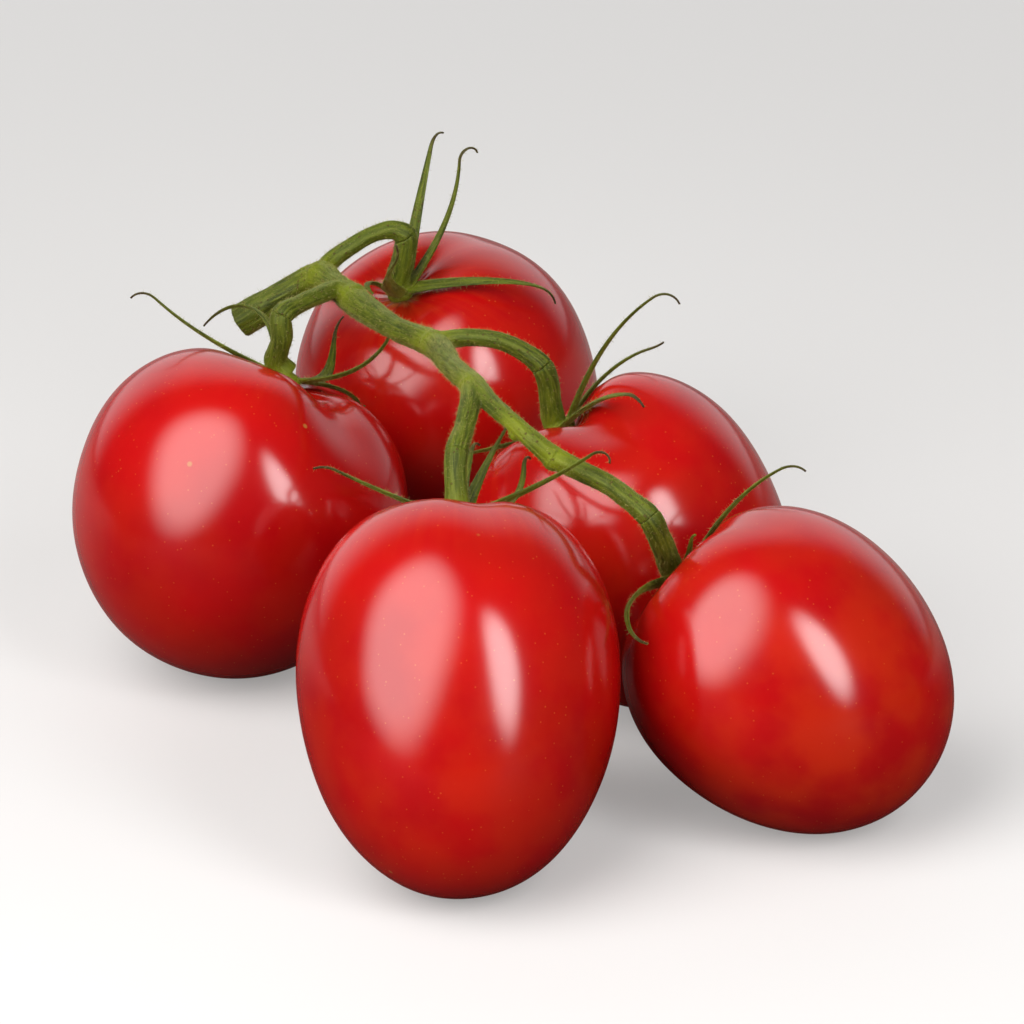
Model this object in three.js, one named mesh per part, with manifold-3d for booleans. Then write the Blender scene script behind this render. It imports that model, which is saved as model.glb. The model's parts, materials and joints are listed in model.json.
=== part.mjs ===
// A truss of plum tomatoes, picked and lying on a table: a hairy green stem with its fruit stalks, a calyx on
// each fruit, and the fruits, which carry the whole weight.
// Millimetres, +Z up. The origin is on the table, under the middle of the truss. +X runs along the truss, from
// the cut end of its stem to the last fruit.
import * as THREE from 'three';
import { mergeVertices } from 'three/addons/utils/BufferGeometryUtils.js';
import Module from 'manifold-3d';

const wasm = await Module();
wasm.setup();

// Colours and finishes
const SKIN = { color: 0xc3140c, roughness: 0.22, metalness: 0 };
const STEM = { color: 0x55702c, roughness: 0.75, metalness: 0 };
const SEPAL = { color: 0x4d6b2b, roughness: 0.7, metalness: 0 };

// The form that all the fruits share, as parts of a fruit's own length and thickness
const BLOSSOM_END = 0.55; // of the length lies below the thickest place
const STEM_END = 0.45; // of the length lies above it
const BLOSSOM_ROUNDNESS = 0.97;
const SHOULDER_ROUNDNESS = 0.88;
const SHOULDER_FLATNESS = 0.92;
const DIMPLE_REACH = 0.34; // of the radius
const OVAL = 0.012; // how much wider than round a fruit is, of its radius
const FRUIT_RINGS = 20;
const FRUIT_SIDES = 32;

// The stalks and sepals
const KNUCKLE_GAP = 0.3; // between the two faces of a stalk's knuckle
const STALK_SIDES = 9;
const STALK_STEP = 2.8; // between rings
const DISC = { rise: 0.7, underRise: 1.3, radius: 3, topRise: 2.3, sides: 12 };
const STALK_FOOT = { rise: 2.8, thick: 4.8 }; // where a stalk ends in the disc
const SEPAL_ROOT = { reach: 2.2, rise: 2.2 }; // where a sepal leaves the disc
const SEPAL_WIDTH = 3.9;
const SEPAL_THICKNESS = 1.0;
const SEPAL_TIP = { width: 0.8, thickness: 0.65 };
const SEPAL_STEPS = 48;
const SEPAL_RINGS = 10;
const LATE_BEND = 1.6; // a sepal bends more towards its tip
const HOOK_START = 0.82; // of the length, where the tip starts to curl

// The main stem, from its cut end to the node under the last stalk: x, y, z and thickness
const MAIN_STEM = [
  [-80.4, -4.2, 56.6, 6.6], [-75.5, 2.5, 61.5, 6], [-69.5, 8, 66, 6.4], [-61, 7, 67.2, 5],
  [-51.5, 5.5, 67.5, 5.8], [-32, 3, 68.5, 4.5], [-17, 2.5, 70, 5.2], [1, -4.5, 73, 4.3],
  [17, -9.5, 75.5, 4.5], [26, -11, 75, 3.5], [34, -11, 73.5, 3.3], [38.5, -10, 71.5, 3.6],
  [41, -7.5, 68.5, 4.3], [43, -6, 67.4, 3.2],
];

// The fruits, counted from the cut end. A fruit's middle is over x and y at a height. Its stem end leans from
// upright towards a turn (degrees). The dimple's depth is a part of the length. Furrows run down from it between
// the lobes: their number, the turn of the first about the fruit's own axis, and their depth.
// A stalk runs from the main stem to the fruit, as x, y, z and thickness, and its knuckle is one of those
// points. A sepal is [turn, rise, lift, length, sway, hook]: it sets off at a turn about the fruit's axis and a
// rise above the dimple, and on its length it lifts and sways, and its tip hooks, all in degrees.
const FRUITS = [
  {
    x: -73.1, y: 37.7, height: 34.8, turn: 281, lean: 24, thick: 60.1, long: 65.4, dimple: 0.085,
    furrows: { count: 3, turn: 60, depth: 0.6 },
    stalk: [
      [-69.5, 8, 66, 4.6], [-71.5, 12, 68, 3.7], [-71, 16.5, 70.2, 3.3], [-70.5, 21.5, 71.8, 3.3],
      [-69.5, 25.5, 72, 3.8], [-68.3, 27.5, 70.6, 4.6], [-68.6, 27.4, 67.5, 4.5], [-69.6, 27, 64, 4.5],
      [-70.9, 26.6, 60.3, 4.7],
    ],
    knuckle: 5,
    sepals: [
      [195, 35, -5, 33, 0, -90], [140, 40, 35, 36, 25, -190], [105, 15, -90, 35, 70, -30],
      [45, 50, -5, 31, 75, 50], [340, 75, -95, 12, 110, -40],
    ],
  },
  {
    x: -49.9, y: -23.3, height: 34, turn: 101.5, lean: 32.5, thick: 64.7, long: 63.8, dimple: 0.09,
    furrows: { count: 2, turn: 265, depth: 3.6 },
    stalk: [
      [-51.5, 5.5, 67.5, 4.8], [-56.5, 4.5, 68.5, 3.8], [-54, -1, 69.5, 3.5], [-52.5, -6, 69.5, 3.6],
      [-51.3, -11, 68.5, 4.4], [-51.2, -11.3, 64.2, 4.2], [-53.1, -11.4, 60.5, 4.3], [-54, -11.5, 58.3, 4.6],
    ],
    knuckle: 4,
    sepals: [
      [132, 5, 23, 33, 3, -105], [80, 51, -117, 34, 10, 0], [7, 5, 86, 28, 98, 33],
      [350, 12, -42, 24, 42, 60], [315, 23, 87, 26, -30, -140],
    ],
  },
  {
    x: 9, y: 27.5, height: 33.6, turn: 206, lean: 37.5, thick: 58.4, long: 66, dimple: 0.13,
    furrows: { count: 2, turn: 152, depth: 4.6 },
    stalk: [
      [-17, 2.5, 70, 4.4], [-15, 5.5, 71, 3.6], [-12, 8.5, 71.5, 3.3], [-8.5, 12, 71, 3.3],
      [-5.7, 15.2, 69, 3.6], [-3, 17.6, 66.2, 4.3], [-2.9, 18.8, 62.5, 4.2], [-3.5, 19.4, 59, 4.2],
      [-4.7, 20.8, 53.5, 4.6],
    ],
    knuckle: 5,
    sepals: [
      [200, 34, -47, 37, -6, -95], [240, 23, -51, 26, -69, 31], [164, 5, -33, 29, -8, -78],
      [37, 21, -5, 20, 66, -208], [310, 20, -78, 24, 0, -60],
    ],
  },
  {
    x: 52, y: -36.8, height: 37.3, turn: 145, lean: 36, thick: 59.4, long: 74.5, dimple: 0.085,
    furrows: { count: 3, turn: 200, depth: 0.9 },
    stalk: [
      [17, -9.5, 75.5, 4.4], [23, -14, 75, 3.9], [28, -18.5, 73, 3.8], [32.5, -23, 71, 4.3],
      [34.5, -24.7, 68, 4.1], [35.8, -25.5, 65, 4.2], [37, -26.3, 62.5, 4.6],
    ],
    knuckle: 3,
    sepals: [
      [75, 25, 5, 28, 5, -50], [335, 55, 5, 27, -40, -140], [310, 10, 105, 24, 30, -150],
      [265, 20, 15, 30, -5, -150], [0, 40, 20, 28, -20, -80],
    ],
  },
  {
    x: 71.2, y: 20.2, height: 30.2, turn: 212, lean: 53, thick: 55.8, long: 62.7, dimple: 0.1,
    furrows: { count: 3, turn: 60, depth: 0.6 },
    stalk: [
      [41, -7.5, 68.5, 4.2], [45.5, -4.5, 66.5, 3.8], [49.5, -1.5, 64.5, 3.7], [55, -0.5, 63, 3.8],
      [60, 0.5, 61, 4.4], [59.8, 2.3, 57, 4.3], [57.5, 5, 52.5, 4.3],
      [53.6, 9.2, 45.8, 4.6],
    ],
    knuckle: 4,
    sepals: [
      [93, 21, -83, 31, 7, -106], [230, 12, -45, 31, -15, -64], [290, 18, -79, 26, 0, -60],
      [330, 18, -79, 24, 0, -60], [160, 13, 8, 11, 0, -60],
    ],
  },
];

const { degToRad, lerp, smoothstep } = THREE.MathUtils;

// Solids: a closed surface goes to the boolean library and back

function toSolid(geometry) {
  const bare = geometry.clone();
  bare.deleteAttribute('normal');
  bare.deleteAttribute('uv');
  const merged = mergeVertices(bare);
  const mesh = new wasm.Mesh({
    numProp: 3,
    vertProperties: Float32Array.from(merged.attributes.position.array),
    triVerts: Uint32Array.from(merged.index.array),
  });
  return new wasm.Manifold(mesh);
}

function toGeometry(solid) {
  const mesh = solid.getMesh();
  const geometry = new THREE.BufferGeometry();
  geometry.setAttribute('position', new THREE.BufferAttribute(mesh.vertProperties, 3));
  geometry.setIndex(new THREE.BufferAttribute(mesh.triVerts, 1));
  return geometry;
}

function fuse(geometries) {
  return toGeometry(geometries.map(toSolid).reduce((whole, piece) => whole.add(piece)));
}

// A closed skin over rings of points, all with the same number of points, with a fan over each end
function skinOver(rings) {
  const sides = rings[0].length;
  const points = rings.flat();
  const faces = [];
  for (let ring = 0; ring + 1 < rings.length; ring += 1) {
    for (let side = 0; side < sides; side += 1) {
      const here = ring * sides + side;
      const beside = ring * sides + ((side + 1) % sides);
      faces.push(here, beside, beside + sides, here, beside + sides, here + sides);
    }
  }
  const last = (rings.length - 1) * sides;
  const startCentre = points.length;
  for (const ring of [rings[0], rings[rings.length - 1]]) {
    const centre = new THREE.Vector3();
    ring.forEach((point) => centre.addScaledVector(point, 1 / sides));
    points.push(centre);
  }
  for (let side = 0; side < sides; side += 1) {
    const next = (side + 1) % sides;
    faces.push(startCentre, next, side, startCentre + 1, last + side, last + next);
  }
  const geometry = new THREE.BufferGeometry().setFromPoints(points);
  geometry.setIndex(faces);
  return geometry;
}

// A stem of changing thickness along a route of [x, y, z, thickness], from one of its points to another.
// skip leaves out a short length at the start.
function stemAlong(route, from = 0, to = route.length - 1, skip = 0) {
  const places = route.map(([x, y, z]) => new THREE.Vector3(x, y, z));
  const curve = new THREE.CatmullRomCurve3(places, false, 'centripetal');
  const stations = [];
  for (let index = from; index < to; index += 1) {
    const steps = Math.max(1, Math.round(places[index].distanceTo(places[index + 1]) / STALK_STEP));
    for (let step = 0; step < steps; step += 1) stations.push(index + step / steps);
  }
  stations.push(to);

  const rings = [];
  let side = new THREE.Vector3(0, 0, 1);
  for (const station of stations) {
    const share = station / (route.length - 1);
    const centre = curve.getPoint(share);
    const ahead = curve.getTangent(share);
    if (station === from) centre.addScaledVector(ahead, skip);
    side = side.clone().addScaledVector(ahead, -side.dot(ahead)).normalize();
    const across = new THREE.Vector3().crossVectors(ahead, side);
    const before = Math.min(Math.floor(station), route.length - 2);
    const radius = lerp(route[before][3], route[before + 1][3], smoothstep(station - before, 0, 1)) / 2;
    const ring = [];
    for (let step = 0; step < STALK_SIDES; step += 1) {
      const angle = (step / STALK_SIDES) * 2 * Math.PI;
      const point = centre.clone().addScaledVector(side, radius * Math.cos(angle));
      ring.push(point.addScaledVector(across, radius * Math.sin(angle)));
    }
    rings.push(ring);
  }
  return skinOver(rings);
}

// The fruits

// From the fruit's own frame, with its stem end along +Z, to its place on the table
function fruitFrame(fruit) {
  const turn = degToRad(fruit.turn);
  const lean = degToRad(fruit.lean);
  const stemEnd = new THREE.Vector3(
    Math.sin(lean) * Math.cos(turn),
    Math.sin(lean) * Math.sin(turn),
    Math.cos(lean),
  );
  const side = new THREE.Vector3(-Math.sin(turn), Math.cos(turn), 0);
  const front = new THREE.Vector3().crossVectors(side, stemEnd);
  return new THREE.Matrix4().makeBasis(front, side, stemEnd).setPosition(fruit.x, fruit.y, fruit.height);
}

// A point of the profile: share runs from 0 at the blossom end, by 0.5 at the thickest place, to 1 in the dimple
function fruitProfile(fruit, share) {
  const angle = share * Math.PI;
  const wide = Math.abs(Math.sin(angle));
  const high = Math.abs(Math.cos(angle));
  const radius = fruit.thick / 2;
  if (share < 0.5) {
    return new THREE.Vector2(radius * wide ** BLOSSOM_ROUNDNESS, -BLOSSOM_END * fruit.long * high);
  }
  const reach = share === 1 ? 0 : radius * wide ** SHOULDER_ROUNDNESS;
  const dimple = fruit.dimple * fruit.long * Math.exp(-((reach / (DIMPLE_REACH * radius)) ** 2));
  return new THREE.Vector2(reach, STEM_END * fruit.long * high ** SHOULDER_FLATNESS - dimple);
}

// How much a place on a fruit shrinks towards its middle, where a furrow passes over its shoulder
function furrowScale(fruit, share, angle) {
  const { count, turn, depth } = fruit.furrows;
  const valley = ((1 + Math.cos(count * (angle - degToRad(turn)))) / 2) ** 4;
  const upper = 2 * share - 1;
  const onShoulder = smoothstep(upper, 0, 0.55) * (1 - smoothstep(upper, 0.8, 1));
  return 1 - (2 * depth * valley * onShoulder) / fruit.thick;
}

function tomato(fruit) {
  const profile = [];
  for (let ring = 0; ring <= FRUIT_RINGS; ring += 1) profile.push(fruitProfile(fruit, ring / FRUIT_RINGS));
  profile[0].x = 0;
  const body = new THREE.LatheGeometry(profile, FRUIT_SIDES).rotateX(Math.PI / 2);
  const places = body.attributes.position;
  const point = new THREE.Vector3();
  for (let index = 0; index < places.count; index += 1) {
    point.fromBufferAttribute(places, index);
    const share = (index % (FRUIT_RINGS + 1)) / FRUIT_RINGS;
    const angle = Math.atan2(point.y, point.x);
    const oval = 1 + OVAL * Math.cos(2 * (angle - degToRad(fruit.furrows.turn)));
    point.multiplyScalar(furrowScale(fruit, share, angle));
    places.setXYZ(index, point.x * oval, point.y * oval, point.z);
  }
  // On the table its skin is pressed to a small flat spot
  body.applyMatrix4(fruitFrame(fruit));
  const size = 2 * fruit.long;
  const table = new THREE.BoxGeometry(size, size, size).translate(fruit.x, fruit.y, -size / 2);
  return toGeometry(toSolid(body).subtract(toSolid(table)));
}

// The calyxes

// The sepal is a narrow blade with a lens section. Its heading is followed in small steps, and some of them
// carry a ring.
function sepal([turn, rise, lift, length, sway, hook]) {
  const start = degToRad(turn);
  const place = new THREE.Vector3(Math.cos(start), Math.sin(start), 0).multiplyScalar(SEPAL_ROOT.reach);
  place.z = SEPAL_ROOT.rise;
  const ringSteps = new Set();
  for (let ring = 0; ring <= SEPAL_RINGS; ring += 1) {
    ringSteps.add(Math.round(SEPAL_STEPS * (1 - (1 - ring / SEPAL_RINGS) ** 1.4)));
  }
  const rings = [];
  for (let step = 0; step <= SEPAL_STEPS; step += 1) {
    const share = step / SEPAL_STEPS;
    const bend = share ** LATE_BEND;
    const curl = (Math.max(0, share - HOOK_START) / (1 - HOOK_START)) ** 1.3;
    const climb = degToRad(rise + lift * bend + hook * curl);
    const bearing = degToRad(turn + sway * bend);
    const ahead = new THREE.Vector3(
      Math.cos(climb) * Math.cos(bearing),
      Math.cos(climb) * Math.sin(bearing),
      Math.sin(climb),
    );
    if (ringSteps.has(step)) {
      const side = new THREE.Vector3(-Math.sin(bearing), Math.cos(bearing), 0);
      const up = new THREE.Vector3().crossVectors(ahead, side);
      const half = lerp(SEPAL_WIDTH, SEPAL_TIP.width, share) / 2;
      const thick = lerp(SEPAL_THICKNESS, SEPAL_TIP.thickness, share) / 2;
      rings.push([[1, 0], [0.45, 1], [-0.45, 1], [-1, 0], [-0.45, -1], [0.45, -1]].map(
        ([across, above]) => place.clone().addScaledVector(side, across * half)
          .addScaledVector(up, above * thick),
      ));
    }
    place.addScaledVector(ahead, length / SEPAL_STEPS);
  }
  return skinOver(rings);
}

// The small disc in the dimple, which the stalk and the sepals grow from
function calyxDisc() {
  const { rise, underRise, radius, topRise, sides } = DISC;
  const profile = [[0, rise], [radius * 0.6, rise + 0.15], [radius, underRise], [radius, topRise],
    [radius * 0.6, topRise + 0.9], [0, topRise + 1.1]];
  const outline = profile.map(([reach, height]) => new THREE.Vector2(reach, height));
  return new THREE.LatheGeometry(outline, sides).rotateX(Math.PI / 2);
}

function calyx(fruit) {
  const frame = fruitFrame(fruit);
  const dimple = fruitProfile(fruit, 1).y;
  const seat = new THREE.Matrix4().makeTranslation(0, 0, dimple).premultiply(frame);
  const cap = [calyxDisc(), ...fruit.sepals.map(sepal)].map((piece) => piece.applyMatrix4(seat));
  const foot = new THREE.Vector3(0, 0, STALK_FOOT.rise).applyMatrix4(seat);
  const route = [...fruit.stalk, [...foot, STALK_FOOT.thick]];
  return fuse([...cap, stemAlong(route, fruit.knuckle, route.length - 1, KNUCKLE_GAP)]);
}

function vine() {
  const stalks = FRUITS.map((fruit) => stemAlong(fruit.stalk, 0, fruit.knuckle));
  return fuse([stemAlong(MAIN_STEM), ...stalks]);
}

// The truss

function piece(name, geometry, finish) {
  geometry.computeVertexNormals();
  const mesh = new THREE.Mesh(geometry, new THREE.MeshStandardMaterial(finish));
  mesh.name = name;
  return mesh;
}

const truss = new THREE.Group();
truss.add(piece('vine', vine(), STEM));
FRUITS.forEach((fruit, index) => {
  truss.add(piece(`calyx_${index + 1}`, calyx(fruit), SEPAL));
  truss.add(piece(`tomato_${index + 1}`, tomato(fruit), SKIN));
});

export default truss;
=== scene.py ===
# %% [markdown]
# # A truss of plum tomatoes
#
# Five ripe plum tomatoes hang on one hairy green stem, which was picked whole and laid down. The packed
# model gives every piece its place and its size. In this lesson a finer piece grows over each of its nodes,
# with the skin, the grain and the hairs of the real one. Lengths in the tables are in millimetres and angles
# in degrees, as in the part's source. Every Blender mesh is in metres.

import json
import math

import bpy
import numpy as np
from mathutils import Matrix, Quaternion, Vector, noise
from mathutils.kdtree import KDTree

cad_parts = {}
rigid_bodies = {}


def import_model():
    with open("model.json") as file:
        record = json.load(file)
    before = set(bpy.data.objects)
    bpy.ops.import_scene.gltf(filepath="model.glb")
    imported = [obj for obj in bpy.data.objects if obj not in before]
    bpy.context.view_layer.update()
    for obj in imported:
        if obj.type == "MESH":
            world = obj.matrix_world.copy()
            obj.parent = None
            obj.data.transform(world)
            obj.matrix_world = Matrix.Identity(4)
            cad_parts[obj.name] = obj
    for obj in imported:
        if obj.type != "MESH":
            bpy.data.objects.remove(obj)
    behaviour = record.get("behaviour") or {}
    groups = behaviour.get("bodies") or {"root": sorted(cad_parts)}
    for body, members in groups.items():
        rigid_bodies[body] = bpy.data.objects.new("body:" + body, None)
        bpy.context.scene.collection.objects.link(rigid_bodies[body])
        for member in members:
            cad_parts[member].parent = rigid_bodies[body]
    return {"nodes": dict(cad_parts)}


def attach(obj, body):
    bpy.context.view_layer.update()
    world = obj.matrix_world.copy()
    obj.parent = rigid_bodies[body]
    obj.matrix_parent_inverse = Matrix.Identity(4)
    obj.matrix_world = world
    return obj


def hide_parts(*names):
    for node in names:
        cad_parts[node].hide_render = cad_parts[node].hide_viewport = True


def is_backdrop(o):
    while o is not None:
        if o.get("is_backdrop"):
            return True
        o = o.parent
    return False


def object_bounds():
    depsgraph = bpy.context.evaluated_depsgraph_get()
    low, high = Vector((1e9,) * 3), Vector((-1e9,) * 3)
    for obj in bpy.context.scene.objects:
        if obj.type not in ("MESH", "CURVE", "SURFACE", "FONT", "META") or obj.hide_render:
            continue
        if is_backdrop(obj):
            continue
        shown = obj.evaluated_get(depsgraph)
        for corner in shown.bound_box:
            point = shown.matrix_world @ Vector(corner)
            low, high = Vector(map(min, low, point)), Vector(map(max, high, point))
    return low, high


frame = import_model()
cad_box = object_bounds()
MM = 0.001
print("nodes in the packed model:", sorted(frame["nodes"]))

# %% [markdown]
# ## The camera
#
# The truss is seen from its last fruit's side, from about 23 degrees above the floor. A camera could be
# turned to its target with a constraint, but here its place, target and small roll are numbers, because they
# were solved from the picture. The long lens frames the truss alone.

# %% Place the camera
CAMERA_PLACE = Vector((1.0506, -0.6249, 0.5668))
CAMERA_TARGET = Vector((0.0035, 0.0055, 0.0415))
CAMERA_ROLL = -3.0
CAMERA_LENS = 247

sight = bpy.data.cameras.new("camera")
sight.lens = CAMERA_LENS
sight.clip_start = 0.01
camera = bpy.data.objects.new("camera", sight)
bpy.context.scene.collection.objects.link(camera)
aim = (CAMERA_TARGET - CAMERA_PLACE).to_track_quat("-Z", "Y")
roll = Quaternion((0, 0, 1), math.radians(CAMERA_ROLL))
camera.matrix_world = Matrix.Translation(CAMERA_PLACE) @ (aim @ roll).to_matrix().to_4x4()
bpy.context.scene.camera = camera
print(f"camera {(CAMERA_TARGET - CAMERA_PLACE).length:.2f} m from the truss, with a {CAMERA_LENS} mm lens")

# %% [markdown]
# ## Building materials from nodes
#
# A procedural material is a small network of nodes. It could be laid out by hand in the shader editor, but
# a few short helpers keep it readable as text: one adds a node with its settings and what goes into it, one
# mixes two colours by a mask, and the others calculate, build groups of nodes and start a material.

# %% Helpers for node networks
def put(tree, kind, inputs=None, **settings):
    """Adds a node. An input is a value, or another node's output, which is then linked."""
    node = tree.nodes.new(kind)
    for name, value in settings.items():
        setattr(node, name, value)
    for key, value in (inputs or {}).items():
        if isinstance(value, bpy.types.NodeSocket):
            tree.links.new(value, node.inputs[key])
        else:
            node.inputs[key].default_value = value
    return node


def mix_colours(tree, mask, under, over):
    """under where the mask is 0, over where it is 1."""
    # A mix node has sockets for every kind of data: 0 is the mask, and 6 and 7 are the two colours.
    return put(tree, "ShaderNodeMix", {0: mask, 6: under, 7: over}, data_type="RGBA").outputs[2]


def calculate(tree, operation, first, second=0.0):
    return put(tree, "ShaderNodeMath", {0: first, 1: second}, operation=operation).outputs[0]


def times(tree, first, *others):
    """Several numbers or masks multiplied."""
    for other in others:
        first = calculate(tree, "MULTIPLY", first, other)
    return first


def fade(tree, value, low, high, start=0.0, end=1.0):
    """start where the value is low, end where it is high, and smooth between."""
    numbers = {"Value": value, "From Min": low, "From Max": high, "To Min": start, "To Max": end}
    return put(tree, "ShaderNodeMapRange", numbers, interpolation_type="SMOOTHSTEP").outputs[0]


print("node helpers: put, mix_colours, calculate, times, fade")

# %% Helpers for groups and materials
def start_group(name, inputs, outputs):
    """A node group with those sockets, and what its network reads and fills."""
    group = bpy.data.node_groups.new(name, "ShaderNodeTree")
    for label, kind, value in inputs:
        socket = group.interface.new_socket(label, in_out="INPUT", socket_type="NodeSocket" + kind)
        if value is not None:
            socket.default_value = value
    for label, kind in outputs:
        group.interface.new_socket(label, in_out="OUTPUT", socket_type="NodeSocket" + kind)
    return group, put(group, "NodeGroupInput").outputs, put(group, "NodeGroupOutput").inputs


def place_group(tree, group, vector, **values):
    """Places a group in a material with values of its own, and gives its outputs."""
    return put(tree, "ShaderNodeGroup", {"Vector": vector, **values}, node_tree=group).outputs


def start_material(name, settings):
    """A material, its network and its shader's sockets, with the shader's plain settings."""
    material = bpy.data.materials.new(name)
    material.use_nodes = True
    into = material.node_tree.nodes["Principled BSDF"].inputs
    for label, value in settings.items():
        into[label].default_value = value
    return material, material.node_tree, into


print("helpers: start_group, place_group, start_material")

# %% [markdown]
# ## Effects that several finishes share
#
# Skin, stem and sepals all vary in soft patches, and all carry scattered small dots. Each effect is a node
# group, built once, and each finish places it with its own sizes. A painted picture could do the same, but a
# network needs no unwrapping and stays sharp from close by.

# %% Soft patches
patches, taken, given = start_group(
    "patches",
    [
        ("Vector", "Vector", None),
        ("Size", "Float", 0.01),
        ("Detail", "Float", 2.0),
        ("Softness", "Float", 0.2),
    ],
    [("Mask", "Float"), ("Height", "Float")],
)
scale = calculate(patches, "DIVIDE", 1.0, taken["Size"])
clouds = {"Vector": taken["Vector"], "Scale": scale, "Detail": taken["Detail"]}
clouds = put(patches, "ShaderNodeTexNoise", clouds).outputs[0]
low = calculate(patches, "SUBTRACT", 0.5, taken["Softness"])
high = calculate(patches, "ADD", 0.5, taken["Softness"])
patches.links.new(fade(patches, clouds, low, high), given["Mask"])
patches.links.new(clouds, given["Height"])
print("group patches:", len(patches.nodes), "nodes")

# %% Scattered dots
# The share of a dot's radius that has its full strength
DOT_CORE = 0.4

dots, taken, given = start_group(
    "dots",
    [
        ("Vector", "Vector", None),
        ("Spacing", "Float", 0.002),
        ("Radius", "Float", 0.2),
        ("Share", "Float", 0.5),
    ],
    [("Mask", "Float")],
)
scale = calculate(dots, "DIVIDE", 1.0, taken["Spacing"])
cells = put(dots, "ShaderNodeTexVoronoi", {"Vector": taken["Vector"], "Scale": scale})
inner = times(dots, taken["Radius"], DOT_CORE)
spot = fade(dots, cells.outputs["Distance"], inner, taken["Radius"], 1.0, 0.0)
chance = put(dots, "ShaderNodeSeparateColor", {0: cells.outputs["Color"]}).outputs[0]
chosen = calculate(dots, "LESS_THAN", chance, taken["Share"])
dots.links.new(times(dots, spot, chosen), given["Mask"])
print("group dots:", len(dots.nodes), "nodes")

# %% [markdown]
# ## The floor and the light
#
# The truss lies on a plain pale floor. Every fruit in the picture carries two clear highlights, a wide tall
# one at its left and a narrow one at its right, so a large soft box stands at each side. The room is dim,
# which keeps the red deep, except for a pale wall behind that edges the fruits' shoulders. A sky texture
# would be simpler, but it would wash over the skin evenly. For the same reason the near half of the floor
# gives back only a little warm light, although the camera sees all of it pale.

# %% The floor's finish
FLOOR_COLOUR = (0.46, 0.455, 0.45, 1)
FLOOR_NEAR_IN_LIGHT = (0.11, 0.03, 0.027, 1)
FLOOR_FAR_IN_LIGHT = (0.36, 0.28, 0.27, 1)
FLOOR_SETTINGS = {"Roughness": 0.7, "Specular IOR Level": 0.1, "Emission Strength": 1.0}
# A painted glow, added as emission for the camera alone and lighting nothing, so that the floor fades into
# the room: faint near the truss, where it also lightens the floor's shade, and near white far off
PAINTED_GLOW_NEAR, PAINTED_GLOW_FAR = (0.29, 0.285, 0.28, 1), (0.97, 0.97, 0.98, 1)
# From where to where, in metres, the near floor passes into the far floor, and the painted glow grows
BEYOND_THE_TRUSS = (-0.02, 0.16)
OUT_OF_THE_LIGHT = (0.25, 1.5)

to_camera = CAMERA_PLACE - CAMERA_TARGET
away_from_camera = Vector((-to_camera.x, -to_camera.y, 0)).normalized()
paint, tree, into = start_material("pale_floor", FLOOR_SETTINGS)
place = put(tree, "ShaderNodeTexCoord").outputs["Object"]
beyond = put(tree, "ShaderNodeVectorMath", {0: place, 1: away_from_camera}, operation="DOT_PRODUCT")
far = fade(tree, beyond.outputs["Value"], *BEYOND_THE_TRUSS)
in_light = mix_colours(tree, far, FLOOR_NEAR_IN_LIGHT, FLOOR_FAR_IN_LIGHT)
seen = put(tree, "ShaderNodeLightPath").outputs["Is Camera Ray"]
tree.links.new(mix_colours(tree, seen, in_light, FLOOR_COLOUR), into["Base Color"])
distance = put(tree, "ShaderNodeVectorMath", {0: place}, operation="LENGTH").outputs["Value"]
# Painted glow: the floor shines for the camera, more the farther it lies from the truss, and lightens its own
# shade.
lift = mix_colours(tree, fade(tree, distance, *OUT_OF_THE_LIGHT), PAINTED_GLOW_NEAR, PAINTED_GLOW_FAR)
tree.links.new(mix_colours(tree, seen, (0, 0, 0, 1), lift), into["Emission Color"])
print("the floor's red, green and blue:", FLOOR_COLOUR[:3])

# %% Lay the floor
FLOOR_SIZE = 6.0

half = FLOOR_SIZE / 2
sheet = bpy.data.meshes.new("floor")
corners = [(-half, -half, 0), (half, -half, 0), (half, half, 0), (-half, half, 0)]
sheet.from_pydata(corners, [], [(0, 1, 2, 3)])
sheet.materials.append(paint)
floor = bpy.data.objects.new("floor", sheet)
bpy.context.scene.collection.objects.link(floor)
floor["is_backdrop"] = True
print(f"floor {FLOOR_SIZE} m square")

# %% Hang the lights
# A light stands at a turn from the camera (positive to its right) and a rise above the floor, in degrees.
# glow is how bright the middle of its face looks. As on a real soft box, the face fades towards its edge.
LIGHTS = {
    "left_box": dict(turn=-47, rise=42, away=0.85, size=(1.22, 1.85), glow=5.0, colour=(1, 0.985, 0.97)),
    "right_box": dict(turn=33, rise=30, away=0.95, size=(0.46, 1.08), glow=10, colour=(1, 1, 1)),
}
# From where to where the face fades: 0 is its middle and 0.5 its edge
FACE_FADE = (0.22, 0.5)

for name, light in LIGHTS.items():
    turn, rise = math.radians(light["turn"]), math.radians(light["rise"])
    level = Vector((to_camera.x, to_camera.y, 0)).normalized()
    level.rotate(Quaternion((0, 0, 1), turn))
    towards = level * math.cos(rise) + Vector((0, 0, math.sin(rise)))
    lamp = bpy.data.lights.new(name, "AREA")
    lamp.shape = "ELLIPSE"
    lamp.size, lamp.size_y = light["size"]
    face = math.pi / 4 * lamp.size * lamp.size_y
    lamp.energy = light["glow"] * math.pi * face
    lamp.use_nodes = True
    cloth = lamp.node_tree
    on_face = put(cloth, "ShaderNodeNewGeometry").outputs["Parametric"]
    off_middle = put(cloth, "ShaderNodeVectorMath", {0: on_face, 1: (0.5, 0.5, 0)}, operation="DISTANCE")
    bright = fade(cloth, off_middle.outputs["Value"], *FACE_FADE, 1.0, 0.0)
    cloth.links.new(bright, cloth.nodes["Emission"].inputs["Strength"])
    lamp.color = light["colour"]
    stand = bpy.data.objects.new(name, lamp)
    bpy.context.scene.collection.objects.link(stand)
    place = Matrix.Translation(CAMERA_TARGET + light["away"] * towards)
    stand.matrix_world = place @ towards.to_track_quat("Z", "Y").to_matrix().to_4x4()
    print(name, "shines from", [round(x, 2) for x in stand.matrix_world.translation])

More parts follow.
